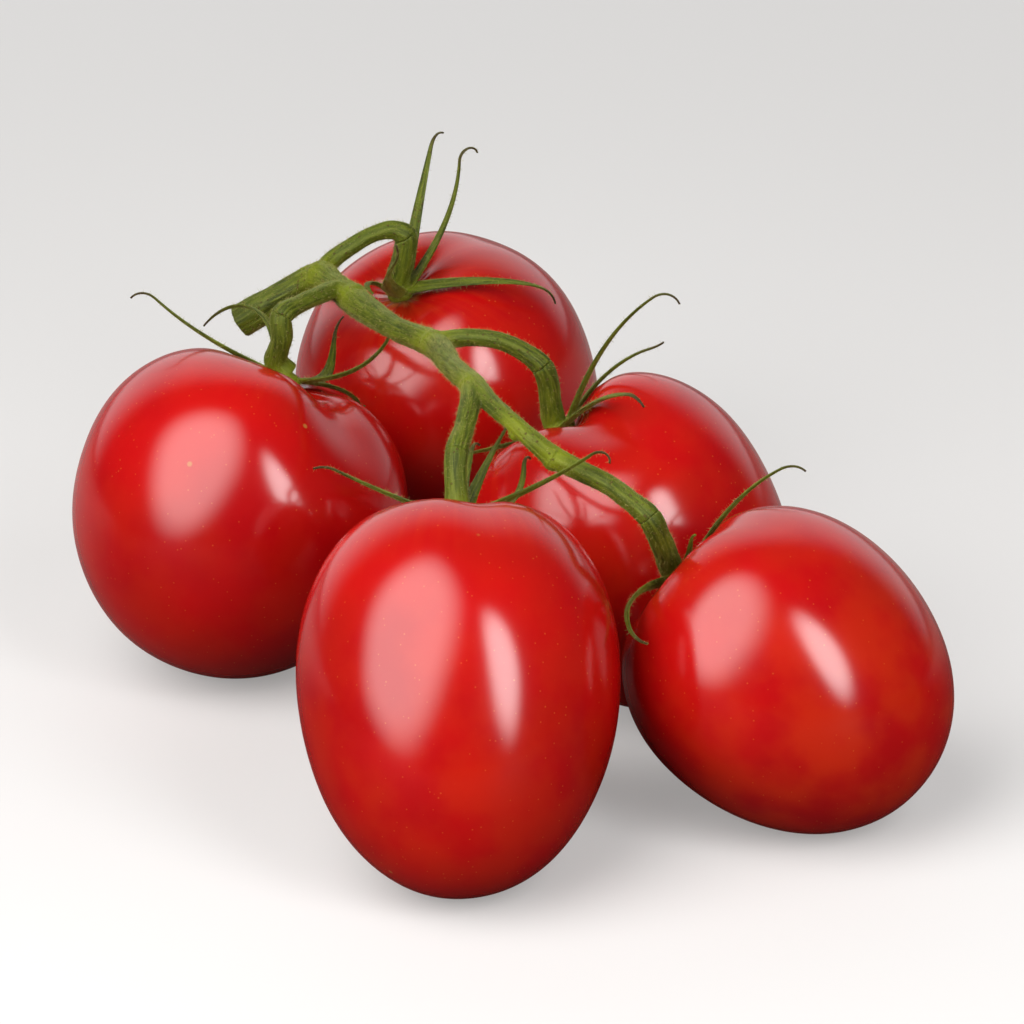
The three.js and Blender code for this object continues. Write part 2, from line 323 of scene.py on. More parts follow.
# %% The room round it
ROOM_GLOW, WALL_GLOW, SEEN_GLOW = 0.05, 0.95, 1.0
ROOM_COLOUR = (0.98, 0.98, 1.0, 1)
# The wall fills the directions that lie this near to straight away from the camera, as a cosine.
WALL_EDGE = (0.45, 0.85)

room = bpy.data.worlds.new("room")
room.use_nodes = True
sky = room.node_tree
direction = put(sky, "ShaderNodeTexCoord").outputs["Generated"]
facing = put(sky, "ShaderNodeVectorMath", {0: direction, 1: away_from_camera}, operation="DOT_PRODUCT")
wall = fade(sky, facing.outputs["Value"], *WALL_EDGE, ROOM_GLOW, WALL_GLOW)
seen = put(sky, "ShaderNodeLightPath").outputs["Is Camera Ray"]
glow = put(sky, "ShaderNodeMix", {0: seen, 2: wall, 3: SEEN_GLOW}).outputs[0]
sky.links.new(glow, sky.nodes["Background"].inputs["Strength"])
sky.nodes["Background"].inputs["Color"].default_value = ROOM_COLOUR
bpy.context.scene.world = room
bpy.context.scene.view_settings.view_transform = "Standard"
print("the room glows", ROOM_GLOW, "and the wall behind", WALL_GLOW)

# %% [markdown]
# ## The tomatoes
#
# A plum tomato is an egg with shoulders: the stalk end has a dimple, and faint furrows run from it between
# the chambers inside. A sculpted ball could be pushed into that form, but the form is a formula, so it is
# drawn as rings of points round the fruit's own axis. The fruit then takes its lean, and where it would go
# below the floor its skin is pressed to a flat spot.

# %% The fruits, counted from the cut end of the stem
# x, y, height of the middle, turn and lean of the stalk end, thickness, length, the dimple's share of the
# length, and the furrows: how many, the turn of the first, and the depth
FRUITS = {
    1: (-73.1, 37.7, 34.8, 281, 24, 60.1, 65.4, 0.085, 3, 60, 0.6),
    2: (-49.9, -23.3, 34, 101.5, 32.5, 64.7, 63.8, 0.09, 2, 265, 3.6),
    3: (9, 27.5, 33.6, 206, 37.5, 58.4, 66, 0.13, 2, 152, 4.6),
    4: (52, -36.8, 37.3, 145, 36, 59.4, 74.5, 0.085, 3, 200, 0.9),
    5: (71.2, 20.2, 30.2, 212, 53, 55.8, 62.7, 0.1, 3, 60, 0.6),
}


def fruit_place(number):
    """Takes a fruit from its own axis, with the stalk end along +Z, to its place on the floor."""
    x, y, height, turn, lean = FRUITS[number][:5]
    turn, lean = math.radians(turn), math.radians(lean)
    stalk_end = Vector((math.sin(lean) * math.cos(turn), math.sin(lean) * math.sin(turn), math.cos(lean)))
    side = Vector((-math.sin(turn), math.cos(turn), 0))
    turned = Matrix((side.cross(stalk_end), side, stalk_end)).transposed().to_4x4()
    return Matrix.Translation(Vector((x, y, height)) * MM) @ turned


for number in FRUITS:
    middle = fruit_place(number).translation
    print(f"tomato {number} has its middle at", [round(v, 4) for v in middle])

# %% The outline from the blossom end to the dimple
# How much of the length lies below and above the widest place, and how blunt each end is
BLOSSOM_END, STALK_END = 0.55, 0.45
LOWER_POWER, UPPER_POWER, SHOULDER_POWER = 0.97, 0.88, 0.92
# The dimple's radius, as a share of the fruit's
DIMPLE_REACH = 0.34


def fruit_outline(number, share):
    """How far from the axis and how high the skin is. share is 0 at the blossom end and 1 at the dimple."""
    thick, long, dimple_share = FRUITS[number][5:8]
    wide, high = np.abs(np.sin(share * np.pi)), np.abs(np.cos(share * np.pi))
    lower = share < 0.5
    reach = thick / 2 * np.where(lower, wide**LOWER_POWER, wide**UPPER_POWER)
    dimple = dimple_share * long * np.exp(-((reach / (DIMPLE_REACH * thick / 2)) ** 2))
    shoulder = STALK_END * long * high**SHOULDER_POWER - dimple
    height = np.where(lower, -BLOSSOM_END * long * high, shoulder)
    return reach, height


def smooth_step(values, low, high):
    step = np.clip((values - low) / (high - low), 0, 1)
    return step * step * (3 - 2 * step)


print("dimple of tomato 4 at", fruit_outline(4, np.array(1.0))[1].round(2), "mm above its middle")

# %% The skin's rings
FRUIT_RINGS, FRUIT_SIDES = 120, 168
# How far a fruit is from round, as a share of its radius
OVAL = 0.012
# From where to where, on the way from the widest place to the dimple, a furrow grows and ends
FURROW_GROWS, FURROW_ENDS, FURROW_SHARPNESS = (0, 0.55), (0.8, 1), 4
# Small pleats round the stalk: how many, how high, how far from the axis and how wide
PLEATS, PLEAT_HEIGHT, PLEAT_PLACE, PLEAT_WIDTH = 9, 0.25, 5.5, 3
# The skin's slow unevenness, and how far on in the noise the next fruit's begins
WAVE_SIZE, WAVE_HEIGHT, NEXT_WAVE = 17, 0.22, 7.3


def fruit_rings(number):
    """Rings of points in millimetres, about the fruit's own axis."""
    thick, count, furrow_turn, depth = FRUITS[number][5], *FRUITS[number][8:]
    share = np.linspace(0, 1, FRUIT_RINGS + 1)[1:-1, None]
    around = np.linspace(0, 2 * np.pi, FRUIT_SIDES, endpoint=False)[None, :]
    reach, height = fruit_outline(number, share)
    from_furrow = around - math.radians(furrow_turn)
    upper = 2 * share - 1
    shoulder = smooth_step(upper, *FURROW_GROWS) * (1 - smooth_step(upper, *FURROW_ENDS))
    furrowed = ((1 + np.cos(count * from_furrow)) / 2) ** FURROW_SHARPNESS
    narrowed = 1 - 2 * depth / thick * furrowed * shoulder
    pleated = np.exp(-(((reach - PLEAT_PLACE) / PLEAT_WIDTH) ** 2)) * (share > 0.5)
    pleat = PLEAT_HEIGHT * pleated * np.cos(PLEATS * around + 2 * np.sin(around))
    oval = OVAL * np.cos(2 * from_furrow)
    x = reach * narrowed * (1 + oval) * np.cos(around)
    y = reach * narrowed * (1 + oval) * np.sin(around)
    z = height * narrowed + pleat
    rings = np.stack([x, y, z], axis=-1)
    for point in rings.reshape(-1, 3):
        wave = noise.noise(Vector(point) / WAVE_SIZE + Vector((NEXT_WAVE * number, 0, 0)))
        point += Vector(point).normalized() * (WAVE_HEIGHT * wave)
    return rings


print("tomato 1 is drawn with", fruit_rings(1).shape[0], "rings of", FRUIT_SIDES, "points")

# %% [markdown]
# ## Closed meshes from rings
#
# Fruits, stems and sepals are all drawn as rings of points. Blender's own tools could spin the one and sweep
# the others, but one helper skins them all in the same way, with quads between the rings and a fan over each
# end, so all come out closed. A fruit's flat spot comes from moving every point that lies below the floor
# straight up to it.

# %% Skin over rings
def closed_mesh(name, rings):
    """A smooth closed mesh in metres, over rings of points in millimetres."""
    rings = np.asarray(rings)
    count, sides = rings.shape[:2]
    points = np.concatenate([rings.reshape(-1, 3), rings[[0, -1]].mean(axis=1)]) * MM
    ring, side = np.meshgrid(np.arange(count - 1) * sides, np.arange(sides), indexing="ij")
    beside = (side + 1) % sides
    quads = np.stack([ring + side, ring + beside, ring + beside + sides, ring + side + sides], axis=-1)
    first, last = count * sides, (count - 1) * sides
    fans = [(first, (s + 1) % sides, s) for s in range(sides)]
    fans += [(first + 1, last + s, last + (s + 1) % sides) for s in range(sides)]
    mesh = bpy.data.meshes.new(name)
    mesh.from_pydata(points.tolist(), [], quads.reshape(-1, 4).tolist() + fans)
    mesh.shade_smooth()
    return mesh


def add_object(name, mesh):
    added = bpy.data.objects.new(name, mesh)
    bpy.context.scene.collection.objects.link(added)
    return added


def keep_vectors(mesh, name, values):
    """Keeps a vector for each point of a mesh, which its finish can read by name."""
    attribute = mesh.attributes.new(name, "FLOAT_VECTOR", "POINT")
    attribute.data.foreach_set("vector", np.asarray(values, np.float32).ravel())


def press_on_floor(mesh):
    """Moves what lies below the floor straight up to it."""
    below = [vertex for vertex in mesh.vertices if vertex.co.z < 0]
    for vertex in below:
        vertex.co.z = 0
    return len(below)


print("helpers: closed_mesh, add_object, keep_vectors, press_on_floor")

# %% [markdown]
# ## The skin of a ripe tomato
#
# The skin is a clear waxy film over red flesh. Light sinks in a little and comes back redder, so the shader
# has some subsurface scattering, and all of its gloss comes from a coat, which is the film. The red varies
# in broad patches, some nearer orange. Fine pale dots lie in it, and a few small dry scars. Round the stalk
# it has faint streaks along the fruit, and a corky ring in the dimple. One flat red with gloss could be made
# with a single node, but it would look like plastic.

# %% Streaks that run from stalk end to blossom end
# The streaks' place goes round on a circle of this radius in metres, and along by only this share.
STREAK_ROUND, STREAK_ALONG = 0.03, 0.12


def scaled(tree, vector, scale):
    numbers = {0: vector, 1: scale}
    return put(tree, "ShaderNodeVectorMath", numbers, operation="MULTIPLY").outputs[0]


def fruit_coordinates(tree):
    """The place on the fruit, its distance from the axis, its height, and its place among the streaks."""
    place = put(tree, "ShaderNodeAttribute", attribute_name="fruit_place").outputs["Vector"]
    flat = scaled(tree, place, (1, 1, 0))
    reach = put(tree, "ShaderNodeVectorMath", {0: flat}, operation="LENGTH").outputs["Value"]
    heading = put(tree, "ShaderNodeVectorMath", {0: flat}, operation="NORMALIZE").outputs[0]
    height = put(tree, "ShaderNodeSeparateXYZ", {0: place}).outputs["Z"]
    wide = scaled(tree, heading, (STREAK_ROUND, STREAK_ROUND, 0))
    along = scaled(tree, place, (0, 0, STREAK_ALONG))
    streak_place = put(tree, "ShaderNodeVectorMath", {0: wide, 1: along}, operation="ADD").outputs[0]
    return place, reach, height, streak_place


print("streaks change", round(1 / STREAK_ALONG), "times faster round the fruit than along it")

# %% The colour of the skin
RED = (0.43, 0.003, 0.003, 1)
CRIMSON = (0.32, 0.0015, 0.003, 1)
ORANGE = (0.50, 0.034, 0.003, 1)
PALE_DOT = (0.72, 0.26, 0.05, 1)
SCAR = (0.42, 0.19, 0.04, 1)
CORK = (0.30, 0.15, 0.04, 1)
# How strongly each shows
STREAK_SHOWS, DOT_SHOWS, SCAR_SHOWS, CORK_SHOWS = 0.22, 0.2, 0.7, 0.8
# From where to where, in metres along the fruit's axis, the orange weakens and the stalk end begins
LOWER_HALF, STALK_SIDE = (-0.03, 0.02), (0.012, 0.028)
# How much of the orange is left above
UPPER_ORANGE = 0.35
# The corky ring's edge in metres from the axis, and how ragged it is
CORK_EDGE, CORK_RAGGED = (0.0045, 0.0075), 0.005
STREAK_RELIEF, GRAIN_RELIEF = 0.6, 0.10
# Where a fruit lies in the patterns: how far on from the fruit before, and how far to the side
NEXT_PATTERN, PATTERN_SIDE = 0.31, 0.17


def skin_colour(tree, number, orange):
    """The skin's colour, its broad patches, its corky part and its relief. orange is how warm it looks."""
    place, reach, height, streak_place = fruit_coordinates(tree)
    own_shift = (NEXT_PATTERN * number, PATTERN_SIDE, 0)
    place = put(tree, "ShaderNodeVectorMath", {0: place, 1: own_shift}, operation="ADD").outputs[0]
    broad = place_group(tree, patches, place, Size=0.026, Detail=2, Softness=0.25)["Mask"]
    warm = place_group(tree, patches, place, Size=0.011, Detail=4, Softness=0.16)["Mask"]
    streak = place_group(tree, patches, streak_place, Size=0.0028, Detail=3, Softness=0.25)
    grain = place_group(tree, patches, place, Size=0.0009, Detail=2, Softness=0.3)["Height"]
    pale_dots = place_group(tree, dots, place, Spacing=0.0014, Radius=0.15, Share=0.5)["Mask"]
    scars = place_group(tree, dots, place, Spacing=0.015, Radius=0.045, Share=0.55)["Mask"]
    by_stalk = fade(tree, height, *STALK_SIDE)
    ragged = calculate(tree, "ADD", reach, times(tree, streak["Height"], CORK_RAGGED))
    corky = times(tree, fade(tree, ragged, *CORK_EDGE, 1.0, 0.0), by_stalk)

    colour = mix_colours(tree, broad, RED, CRIMSON)
    warmth = times(tree, warm, fade(tree, height, *LOWER_HALF, 1.0, UPPER_ORANGE), orange)
    colour = mix_colours(tree, warmth, colour, ORANGE)
    colour = mix_colours(tree, times(tree, streak["Mask"], by_stalk, STREAK_SHOWS), colour, ORANGE)
    colour = mix_colours(tree, times(tree, pale_dots, DOT_SHOWS), colour, PALE_DOT)
    colour = mix_colours(tree, times(tree, scars, SCAR_SHOWS), colour, SCAR)
    colour = mix_colours(tree, times(tree, corky, CORK_SHOWS), colour, CORK)
    streaked = times(tree, streak["Height"], by_stalk, STREAK_RELIEF)
    relief = calculate(tree, "ADD", streaked, times(tree, grain, GRAIN_RELIEF))
    return colour, broad, corky, relief


print("the skin's red, green and blue:", RED[:3])

# %% The gloss of the skin
# What is the same all over the skin
SKIN_SETTINGS = {
    "Specular IOR Level": 0.0,
    "Subsurface Weight": 0.12,
    "Subsurface Radius": (1.0, 0.25, 0.12),
    "Subsurface Scale": 0.004,
    "Coat Weight": 1.0,
    "Coat Roughness": 0.16,
    "Coat IOR": 1.55,
}
# The flesh under the coat, from the lighter patches to the darker, and what the cork adds
SKIN_ROUGHNESS, CORK_ROUGHNESS = (0.27, 0.33), 0.3
ORANGE_SHARE = {1: 0.35, 2: 0.15, 3: 0.3, 4: 0.24, 5: 0.45}


def skin(number, orange):
    material, tree, into = start_material(f"tomato_skin_{number}", SKIN_SETTINGS)
    colour, broad, corky, relief = skin_colour(tree, number, orange)
    tree.links.new(colour, into["Base Color"])
    rough = fade(tree, broad, 0.0, 1.0, *SKIN_ROUGHNESS)
    rough = calculate(tree, "ADD", rough, times(tree, corky, CORK_ROUGHNESS))
    tree.links.new(rough, into["Roughness"])
    bump = put(tree, "ShaderNodeBump", {"Height": relief, "Strength": 0.5, "Distance": 0.0002})
    tree.links.new(bump.outputs[0], into["Normal"])
    return material


skins = {number: skin(number, share) for number, share in ORANGE_SHARE.items()}
print("skins:", [material.name for material in skins.values()])

# %% Lay the five tomatoes down
for number in FRUITS:
    body = closed_mesh(f"ripe_tomato_{number}", fruit_rings(number))
    body.materials.append(skins[number])
    keep_vectors(body, "fruit_place", [vertex.co for vertex in body.vertices])
    body.transform(fruit_place(number))
    pressed = press_on_floor(body)
    tomato = add_object(body.name, body)
    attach(tomato, "root")
    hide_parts(f"tomato_{number}")
    print(tomato.name, len(body.polygons), "faces,", pressed, "points pressed on the floor")

# %% [markdown]
# ## Stems along their routes
#
# A stem follows a smooth line through a few places, and its thickness swells at the nodes. Blender's own
# curves could be bevelled into tubes, but rings drawn on the line can also carry the fine ridges that run
# along a tomato stem, and they keep exactly to the routes of the part's source.

# %% The smooth line through a route
def route_place(route, station):
    """The place and thickness on a route. Station 2.5 is halfway from its third point to its fourth."""
    span = min(int(station), len(route) - 2)
    part = station - span
    here, after = np.array(route[span], float), np.array(route[span + 1], float)
    before = np.array(route[span - 1], float) if span else 2 * here - after
    beyond = np.array(route[span + 2], float) if span + 2 < len(route) else 2 * after - here
    places = [point[:3] for point in (before, here, after, beyond)]
    gap0, gap1, gap2 = (np.linalg.norm(b - a) ** 0.5 for a, b in zip(places, places[1:]))
    p0, p1, p2, p3 = places
    leave = ((p1 - p0) / gap0 - (p2 - p0) / (gap0 + gap1) + (p2 - p1) / gap1) * gap1
    reach = ((p2 - p1) / gap1 - (p3 - p1) / (gap1 + gap2) + (p3 - p2) / gap2) * gap1
    cube = 2 * p1 - 2 * p2 + leave + reach
    square = -3 * p1 + 3 * p2 - 2 * leave - reach
    place = p1 + leave * part + square * part**2 + cube * part**3
    thick = here[3] + (after[3] - here[3]) * (part * part * (3 - 2 * part))
    return place, thick


print("helper: route_place")

# %% Rings along a route
# Points in a ring, and how far the next ring is
STEM_SIDES, STEM_STEP = 30, 0.55
# How far on either side of a station its direction is measured
NUDGE = 0.001
# Three sets of ridges: how many go round, how high they are as a share of the radius, and their turn
RIDGES = ((5, 0.030, 0.4), (8, 0.022, 2.1), (13, 0.010, 0.9))
# How much the thickness wanders along a stem, and over what length
WANDER, WANDER_LENGTH = 0.05, 3.1


def stem_rings(route, first=0, last=None, skip=0.0):
    """Rings of points along a route, and its axis: place, two directions across it, and distance gone."""
    last = len(route) - 1 if last is None else last
    stations = [first]
    for span in range(first, last):
        length = np.linalg.norm(np.subtract(route[span + 1][:3], route[span][:3]))
        steps = max(2, round(length / STEM_STEP))
        stations += [span + step / steps for step in range(1, steps + 1)]
    around = np.linspace(0, 2 * np.pi, STEM_SIDES, endpoint=False)
    ridged = 1 + sum(depth * np.cos(count * around + turn) for count, depth, turn in RIDGES)
    side = np.array([0, 0, 1.0])
    gone, previous = 0.0, None
    rings, axis = [], []
    for station in stations:
        place, thick = route_place(route, station)
        back, on = max(station - NUDGE, 0), min(station + NUDGE, len(route) - 1)
        ahead = route_place(route, on)[0] - route_place(route, back)[0]
        ahead /= np.linalg.norm(ahead)
        if station == first:
            place = place + ahead * skip
        side = side - ahead * side.dot(ahead)
        side /= np.linalg.norm(side)
        across = np.cross(ahead, side)
        gone += 0 if previous is None else np.linalg.norm(place - previous)
        previous = place
        swell = 1 + WANDER * noise.noise(Vector(place) / WANDER_LENGTH)
        radius = (thick / 2 * swell * ridged)[:, None]
        outwards = np.cos(around)[:, None] * side + np.sin(around)[:, None] * across
        rings.append(place + radius * outwards)
        axis.append((place, side, across, gone))
    return rings, axis


print("helper: stem_rings")

# %% [markdown]
# ## The vine
#
# The cut stalk, the main stem and the five fruit stalks grew as one piece. The separate tubes are melted
# together with a voxel remesh, as a sculptor would join clay, because a plain join would leave sharp seams
# at every fork. A little smoothing then rounds the forks, and small swellings make the nodes.

# %% The routes
# x, y, z and thickness of each point
MAIN_STEM = [
    (-80.4, -4.2, 56.6, 6.6), (-75.5, 2.5, 61.5, 6), (-69.5, 8, 66, 6.4), (-61, 7, 67.2, 5),
    (-51.5, 5.5, 67.5, 5.8), (-32, 3, 68.5, 4.5), (-17, 2.5, 70, 5.2), (1, -4.5, 73, 4.3),
    (17, -9.5, 75.5, 4.5), (26, -11, 75, 3.5), (34, -11, 73.5, 3.3), (38.5, -10, 71.5, 3.6),
    (41, -7.5, 68.5, 4.3), (43, -6, 67.4, 3.2),
]
STALKS = {
    1: [(-69.5, 8, 66, 4.6), (-71.5, 12, 68, 3.7), (-71, 16.5, 70.2, 3.3), (-70.5, 21.5, 71.8, 3.3),
        (-69.5, 25.5, 72, 3.8), (-68.3, 27.5, 70.6, 4.6), (-68.6, 27.4, 67.5, 4.5), (-69.6, 27, 64, 4.5),
        (-70.9, 26.6, 60.3, 4.7)],
    2: [(-51.5, 5.5, 67.5, 4.8), (-56.5, 4.5, 68.5, 3.8), (-54, -1, 69.5, 3.5), (-52.5, -6, 69.5, 3.6),
        (-51.3, -11, 68.5, 4.4), (-51.2, -11.3, 64.2, 4.2), (-53.1, -11.4, 60.5, 4.3),
        (-54, -11.5, 58.3, 4.6)],
    3: [(-17, 2.5, 70, 4.4), (-15, 5.5, 71, 3.6), (-12, 8.5, 71.5, 3.3), (-8.5, 12, 71, 3.3),
        (-5.7, 15.2, 69, 3.6), (-3, 17.6, 66.2, 4.3), (-2.9, 18.8, 62.5, 4.2), (-3.5, 19.4, 59, 4.2),
        (-4.7, 20.8, 53.5, 4.6)],
    4: [(17, -9.5, 75.5, 4.4), (23, -14, 75, 3.9), (28, -18.5, 73, 3.8), (32.5, -23, 71, 4.3),
        (34.5, -24.7, 68, 4.1), (35.8, -25.5, 65, 4.2), (37, -26.3, 62.5, 4.6)],
    5: [(41, -7.5, 68.5, 4.2), (45.5, -4.5, 66.5, 3.8), (49.5, -1.5, 64.5, 3.7), (55, -0.5, 63, 3.8),
        (60, 0.5, 61, 4.4), (59.8, 2.3, 57, 4.3), (57.5, 5, 52.5, 4.3), (53.6, 9.2, 45.8, 4.6)],
}
# The point of each stalk where the fruit snaps off
KNUCKLES = {1: 5, 2: 4, 3: 5, 4: 3, 5: 4}
print("the main stem has", len(MAIN_STEM), "points, and the stalks", [len(s) for s in STALKS.values()])

# %% Melt pieces together
VOXEL = 0.26
# How strongly and how often the melted surface is smoothed
EASE, EASE_ROUNDS = 0.5, 2
BEAD_RINGS, BEAD_SIDES = 12, 20


def applied(piece):
    """Bakes the modifiers of a piece into its mesh."""
    bpy.context.view_layer.update()
    final = bpy.data.meshes.new_from_object(piece.evaluated_get(bpy.context.evaluated_depsgraph_get()))
    piece.modifiers.clear()
    piece.data = final
    final.shade_smooth()
    return piece


def melted(name, meshes):
    """One object of several closed meshes, joined where they overlap."""
    points, faces = [], []
    for mesh in meshes:
        start = len(points)
        points += [vertex.co.copy() for vertex in mesh.vertices]
        faces += [[start + index for index in face.vertices] for face in mesh.polygons]
    whole = bpy.data.meshes.new(name)
    whole.from_pydata(points, [], faces)
    piece = add_object(name, whole)
    merge = piece.modifiers.new("merge", "REMESH")
    merge.mode = "VOXEL"
    merge.voxel_size = VOXEL * MM
    ease = piece.modifiers.new("ease", "SMOOTH")
    ease.factor = EASE
    ease.iterations = EASE_ROUNDS
    return applied(piece)


def bead(place, radii):
    """A small rounded swelling at a place, in millimetres."""
    share = np.linspace(0, 1, BEAD_RINGS)[1:-1, None] * np.pi
    around = np.linspace(0, 2 * np.pi, BEAD_SIDES, endpoint=False)[None, :]
    x = np.sin(share) * np.cos(around)
    y = np.sin(share) * np.sin(around)
    z = -np.cos(share) + 0 * around
    return closed_mesh("bead", np.array(place) + np.stack([x, y, z], axis=-1) * np.array(radii))


print("voxels of", VOXEL, "mm")

# %% Grow the vine
# Where the stem swells at a node: place and radii
SWELLINGS = [
    ((-68.8, 8.2, 66.4), (3.3, 3.3, 3.4)), ((-52.2, 5.8, 67.6), (3.1, 3.0, 3.2)),
    ((-17, 2.6, 70), (2.8, 2.7, 2.9)), ((17, -9.8, 75.4), (2.5, 2.4, 2.4)),
    ((41, -7.5, 68.3), (2.3, 2.3, 2.3)), ((34.5, -11.2, 72.2), (1.5, 1.7, 1.5)),
]

stem_axis = []
tubes = []
for route, end in [(MAIN_STEM, len(MAIN_STEM) - 1)] + [(STALKS[n], KNUCKLES[n]) for n in STALKS]:
    rings, axis = stem_rings(route, 0, end)
    tubes.append(closed_mesh("tube", rings))
    stem_axis += axis
tubes += [bead(place, radii) for place, radii in SWELLINGS]
vine = melted("hairy_stem", tubes)
print("the vine has", len(vine.data.polygons), "faces")

# %% [markdown]
# ## Telling the surface which way it grows
#
# After the melting, a stem no longer knows which way it runs, but its fibres do. Each point of the surface
# looks up the nearest place on the axis, and keeps two attributes for the finish: `grain`, its place across
# the stem and, shortened, along it, and `growth`, how near it is to a sepal's tip, whether it is sepal or
# stem, and how near it is to a node. Unwrapping could do the same, but would leave seams.

# %% Mark grain and growth
# How many times slower the grain's place changes along a stem than across it
GRAIN_SHORTENING = 9
# How far round a node its yellow reaches
NODE_REACH = 4.0


def nearness(place, spots):
    """1 at one of those spots, and less and less away from them."""
    distance = min((place - Vector(spot)).length for spot in spots)
    return math.exp(-((distance / NODE_REACH) ** 2))


def mark_growth(piece, axis, node_places):
    """axis has a place, the two directions across it, the distance gone, tip share and blade share."""
    tree = KDTree(len(axis))
    for index, sample in enumerate(axis):
        tree.insert(Vector(sample[0]), index)
    tree.balance()
    grain = np.zeros((len(piece.data.vertices), 3))
    growth = np.zeros_like(grain)
    for index, vertex in enumerate(piece.data.vertices):
        place = vertex.co / MM
        near, side, across, gone, tip, blade = axis[tree.find(place)[1]]
        away = np.array(place) - near
        grain[index] = away @ side, away @ across, gone / GRAIN_SHORTENING
        growth[index] = tip, blade, nearness(place, node_places)
    keep_vectors(piece.data, "grain", grain * MM)
    keep_vectors(piece.data, "growth", growth)


mark_growth(vine, [sample + (0.0, 0.0) for sample in stem_axis], [place for place, radii in SWELLINGS])
print("grain marked on", len(vine.data.vertices), "points")

# %% [markdown]
# ## The green of stems and sepals
#
# Stem and sepals share one green: fine fibres along them, patches of light and dark, and small brown glands
# between the hairs. The nodes are yellower, and a sepal dries to brown at its tip, with a paler rib down its
# middle. A picture of a leaf could be wrapped round them, but the pattern has to follow every bend, so it is
# built on the marked grain, and one function makes both finishes.

# %% The colour of the plant
GREEN = (0.050, 0.070, 0.004, 1)
DARK_GREEN = (0.018, 0.028, 0.002, 1)
YELLOW_GREEN = (0.200, 0.235, 0.006, 1)
PALE_FIBRE = (0.120, 0.145, 0.010, 1)
GLAND = (0.060, 0.030, 0.008, 1)
DRY_TIP = (0.040, 0.022, 0.010, 1)
# How strongly each shows
FIBRE_SHOWS, NODE_SHOWS, GLAND_SHOWS, RIB_SHOWS = 0.8, 0.75, 0.75, 0.6
# From where to where the rib ends, in metres from a sepal's middle
RIB_EDGE = (0.0001, 0.0003)
# From where to where a tip is dry, as a share of the sepal's length, and how ragged that edge is
DRY_EDGE, DRY_RAGGED = (0.86, 1.16), 0.3


def plant_colour(tree, gland_share):
    """The colour of stem and sepals, the height of their fibres and the mask of their glands."""
    place = put(tree, "ShaderNodeTexCoord").outputs["Object"]
    grain = put(tree, "ShaderNodeAttribute", attribute_name="grain").outputs["Vector"]
    growth = put(tree, "ShaderNodeAttribute", attribute_name="growth").outputs["Vector"]
    growth = put(tree, "ShaderNodeSeparateXYZ", {0: growth}).outputs
    tip, blade, node = growth["X"], growth["Y"], growth["Z"]
    broad = place_group(tree, patches, place, Size=0.006, Detail=3, Softness=0.2)
    fibre = place_group(tree, patches, grain, Size=0.00055, Detail=3, Softness=0.2)
    glands = place_group(tree, dots, place, Spacing=0.0010, Radius=0.32, Share=gland_share)["Mask"]
    middle = calculate(tree, "ABSOLUTE", put(tree, "ShaderNodeSeparateXYZ", {0: grain}).outputs["X"])
    rib = times(tree, fade(tree, middle, *RIB_EDGE, RIB_SHOWS, 0.0), blade)
    dried = calculate(tree, "ADD", tip, times(tree, broad["Height"], DRY_RAGGED))

    colour = mix_colours(tree, broad["Mask"], GREEN, DARK_GREEN)
    colour = mix_colours(tree, times(tree, fibre["Mask"], FIBRE_SHOWS), colour, PALE_FIBRE)
    colour = mix_colours(tree, times(tree, node, NODE_SHOWS), colour, YELLOW_GREEN)
    colour = mix_colours(tree, times(tree, glands, GLAND_SHOWS), colour, GLAND)
    colour = mix_colours(tree, rib, colour, PALE_FIBRE)
    colour = mix_colours(tree, fade(tree, dried, *DRY_EDGE), colour, DRY_TIP)
    return colour, fibre["Height"], glands


print("the plant's red, green and blue:", GREEN[:3])

# %% The velvet of the plant
PLANT_SETTINGS = {
    "Specular IOR Level": 0.2,
    "Subsurface Weight": 0.1,
    "Subsurface Radius": (0.5, 1.0, 0.25),
    "Subsurface Scale": 0.001,
    "Sheen Weight": 0.3,
    "Sheen Tint": (0.42, 0.52, 0.08, 1),
    "Sheen Roughness": 0.4,
}
# From where to where in a fibre's height the roughness changes, and its two values
FIBRE_HEIGHTS, FIBRE_ROUGHNESS = (0.3, 0.7), (0.62, 0.5)
GLAND_RELIEF = 0.5
# How many of the places for a gland have one
STEM_GLANDS, SEPAL_GLANDS = 0.65, 0.35


def plant_green(name, gland_share):
    material, tree, into = start_material(name, PLANT_SETTINGS)
    colour, fibre, glands = plant_colour(tree, gland_share)
    tree.links.new(colour, into["Base Color"])
    tree.links.new(fade(tree, fibre, *FIBRE_HEIGHTS, *FIBRE_ROUGHNESS), into["Roughness"])
    relief = calculate(tree, "ADD", fibre, times(tree, glands, GLAND_RELIEF))
    bump = put(tree, "ShaderNodeBump", {"Height": relief, "Strength": 0.8, "Distance": 0.0003})
    tree.links.new(bump.outputs[0], into["Normal"])
    return material


stem_green = plant_green("stem_green", STEM_GLANDS)
sepal_green = plant_green("sepal_green", SEPAL_GLANDS)
vine.data.materials.clear()
vine.data.materials.append(stem_green)
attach(vine, "root")
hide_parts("vine")
print("finishes:", stem_green.name, sepal_green.name)

# %% [markdown]
# ## The calyxes
#
# Each fruit keeps a green cap when it is picked: the last stretch of stalk past the knuckle, the small disc
# in the dimple, and five narrow sepals with curled tips. A sepal could be a flat leaf on a bent curve. Here
# its heading is followed step by step, so that it can lift, sway and hook as each one in the picture does.

